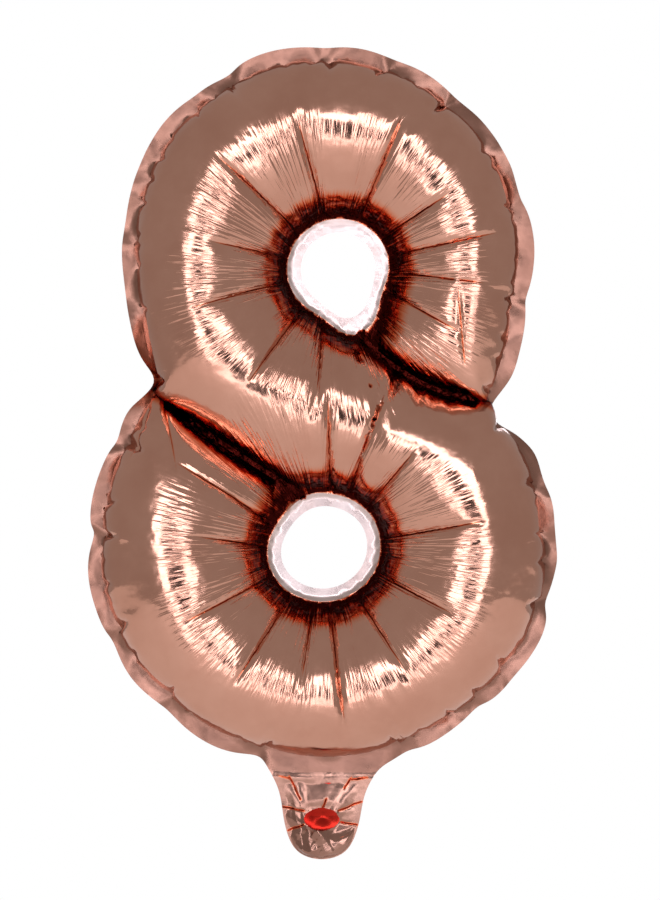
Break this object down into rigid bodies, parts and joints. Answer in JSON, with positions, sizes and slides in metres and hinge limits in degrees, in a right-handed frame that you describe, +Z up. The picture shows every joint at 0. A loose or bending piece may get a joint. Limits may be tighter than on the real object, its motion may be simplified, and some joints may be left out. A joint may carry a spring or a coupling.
{
  "type": "foil number balloon",
  "caption": "Inflated foil digit eight made of two sealed metallic films, with a scalloped seam and a folding filling tail.",
  "frame": {"origin": "centre of the upper wall patch: the flat crest of the upper loop's back, where the balloon sticks to a wall", "axes": "+Z up the digit, +X to the reader's right, +Y out of the back into the wall; the front faces -Y"},
  "size_m": [0.2106, 0.0482, 0.36],
  "materials": {
    "foil": "mirror-bright rose gold, finely wrinkled",
    "seal": "satin rose gold, pressed flat",
    "valve_film": "milky clear film"
  },
  "bodies": {
    "balloon": {"front_panel": "foil", "back_panel": "foil", "outer_seam": "seal", "upper_hole_seam": "seal", "lower_hole_seam": "seal", "upper_slit_seam": "seal", "lower_slit_seam": "seal", "valve_front_lip": "valve_film", "valve_back_lip": "valve_film"},
    "tail": {"tail_front_ply": "foil", "tail_back_ply": "foil", "tail_seam": "seal", "tail_valve_front_film": "valve_film", "tail_valve_back_film": "valve_film"}
  },
  "joints": [
    {"name": "tail_fold", "type": "hinge", "parent": "balloon", "child": "tail", "pos_m": [0, -0.0222, -0.282], "axis": [1, 0, 0], "range_deg": [-85, 85]}
  ]
}
